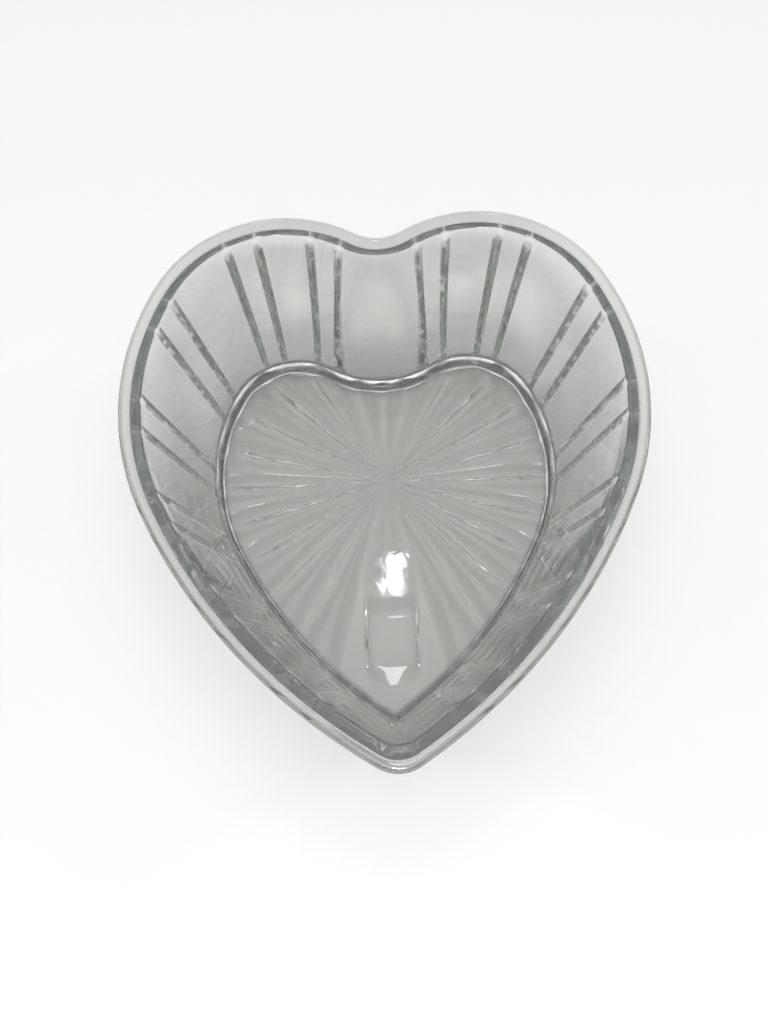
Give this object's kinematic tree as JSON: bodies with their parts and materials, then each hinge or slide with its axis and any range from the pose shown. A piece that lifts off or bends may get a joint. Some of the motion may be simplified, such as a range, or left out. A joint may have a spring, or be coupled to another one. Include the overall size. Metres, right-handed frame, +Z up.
{
  "type": "heart-shaped trinket box",
  "caption": "Open heart-shaped trinket bowl pressed in clear glass, with pairs of grooves down its flaring wall, a plain rim and a sunburst under the floor.",
  "frame": {"origin": "middle of the footprint, on the surface that the bowl stands on", "axes": "+Z up out of the mouth, +Y from the point of the heart towards its two lobes, +X to the right seen from the point; X = 0 is the mirror plane"},
  "size_m": [0.115, 0.126, 0.05],
  "materials": {
    "clear_glass": "clear pressed glass, fire-polished, faint grey-green where thick"
  },
  "bodies": {
    "root": {"glass_bowl": "clear_glass"}
  },
  "joints": []
}
